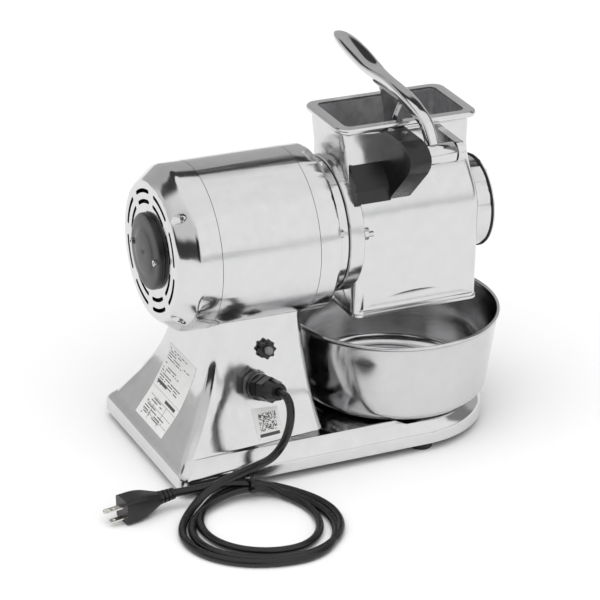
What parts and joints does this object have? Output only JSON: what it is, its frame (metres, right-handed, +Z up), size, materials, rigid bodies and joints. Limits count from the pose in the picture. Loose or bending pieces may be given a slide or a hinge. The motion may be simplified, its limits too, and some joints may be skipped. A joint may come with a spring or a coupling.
{
  "type": "shaved ice machine",
  "caption": "Bench-top motor-driven drum grater and ice shaver with a feed hopper, hinged pressing lever, catch bowl and mains cord.",
  "frame": {"origin": "centre of the footprint on the bench, under the machine without its free cord", "axes": "+Z up, +X along the drive shaft from the motor to the drum, +Y towards the operator's side (the lever's free end)"},
  "size_m": [0.497, 0.412, 0.3963],
  "materials": {
    "polished_aluminium": "mirror polished casting",
    "satin_aluminium": "satin turned",
    "stainless_brushed": "brushed inside, polished outside",
    "stainless_polished": "polished",
    "zinc_steel": "bright plated",
    "bearing_steel": "ground",
    "core_steel": "lacquered laminations",
    "copper_winding": "enamelled wire",
    "black_rubber": "matt",
    "black_plastic": "satin moulded",
    "black_gloss": "gloss",
    "dark_sheet": "satin black",
    "white_plastic": "moulded",
    "green_button": "gloss",
    "red_button": "gloss",
    "sticker_film": "printed film",
    "cord_jacket": "satin",
    "brass_pin": "nickel plated",
    "fan_plastic": "moulded"
  },
  "bodies": {
    "machine": {"base_casting": "polished_aluminium", "bottom_cover": "dark_sheet", "rubber_feet": "black_rubber", "foot_screws": "zinc_steel", "motor_rear_cap": "polished_aluminium", "rear_cap_screws": "zinc_steel", "rear_disc": "black_plastic", "rear_disc_screws": "zinc_steel", "motor_sleeve": "polished_aluminium", "motor_front_ring": "polished_aluminium", "saddle_bolts": "zinc_steel", "front_ring_bolts": "zinc_steel", "stator_core": "core_steel", "stator_windings": "copper_winding", "rear_bearing": "bearing_steel", "front_bearing": "bearing_steel", "outer_bearing": "bearing_steel", "neck_gasket": "black_rubber", "head_casting": "polished_aluminium", "head_studs": "zinc_steel", "head_nuts": "zinc_steel", "cover_seal": "black_rubber", "front_cover": "polished_aluminium", "cover_screws": "zinc_steel", "outlet_guard": "stainless_polished", "hinge_pin": "stainless_polished", "interlock_cover": "black_plastic", "interlock_screws": "zinc_steel", "interlock_sensor": "black_plastic", "gland_body": "black_plastic", "gland_nut": "black_plastic", "gland_locknut": "black_plastic", "reset_button_nut": "black_plastic", "reset_button_body": "black_plastic", "switch_plate": "black_plastic", "switch_body": "black_plastic", "capacitor": "white_plastic", "terminal_block": "white_plastic", "rating_sticker": "sticker_film", "table_sticker": "sticker_film", "code_sticker": "sticker_film", "cord_drop": "cord_jacket", "cord_lead": "cord_jacket", "cord_coil": "cord_jacket", "cord_tie": "black_plastic", "plug_body": "black_plastic", "plug_pins": "brass_pin"},
    "lever": {"lever": "polished_aluminium"},
    "pusher": {"pusher_plate": "stainless_polished", "pusher_pin": "stainless_polished"},
    "drum": {"drive_shaft": "bearing_steel", "shaft_key": "bearing_steel", "grating_drum": "stainless_brushed", "drum_teeth": "stainless_polished", "rotor_core": "core_steel", "cooling_fan": "fan_plastic"},
    "bowl": {"bowl": "stainless_brushed"},
    "reset_button": {"reset_button": "black_gloss"},
    "start_button": {"start_button": "green_button"},
    "stop_button": {"stop_button": "red_button"}
  },
  "joints": [
    {"name": "lever_hinge", "type": "hinge", "parent": "machine", "child": "lever", "pos_m": [0.0819, -0.1029, 0.336], "axis": [1, 0, 0], "range_deg": [-8, 75]},
    {"name": "pusher_pivot", "type": "hinge", "parent": "lever", "child": "pusher", "pos_m": [0.0774, -0.0099, 0.322], "axis": [1, 0, 0], "range_deg": [-76, 9]},
    {"name": "drum_spin", "type": "hinge", "parent": "machine", "child": "drum", "pos_m": [0.0769, -0.0099, 0.2358], "axis": [1, 0, 0], "continuous": true},
    {"name": "bowl_lift", "type": "slide", "parent": "machine", "child": "bowl", "axis": [0, 0, 1], "range_m": [0, 0.016]},
    {"name": "reset_press", "type": "slide", "parent": "machine", "child": "reset_button", "axis": [-0.05, 0.9858, -0.1601], "range_m": [0, 0.0025], "stiffness_N_per_m": 300, "springref_m": -0.001},
    {"name": "start_press", "type": "slide", "parent": "machine", "child": "start_button", "axis": [-0.09, -0.9653, -0.2451], "range_m": [0, 0.003], "stiffness_N_per_m": 300, "springref_m": -0.001},
    {"name": "stop_press", "type": "slide", "parent": "machine", "child": "stop_button", "axis": [-0.09, -0.9653, -0.2451], "range_m": [0, 0.003], "stiffness_N_per_m": 300, "springref_m": -0.001}
  ],
  "couplings": [
    {"joint": "pusher_pivot", "follows": "lever_hinge", "ratio": -1}
  ]
}
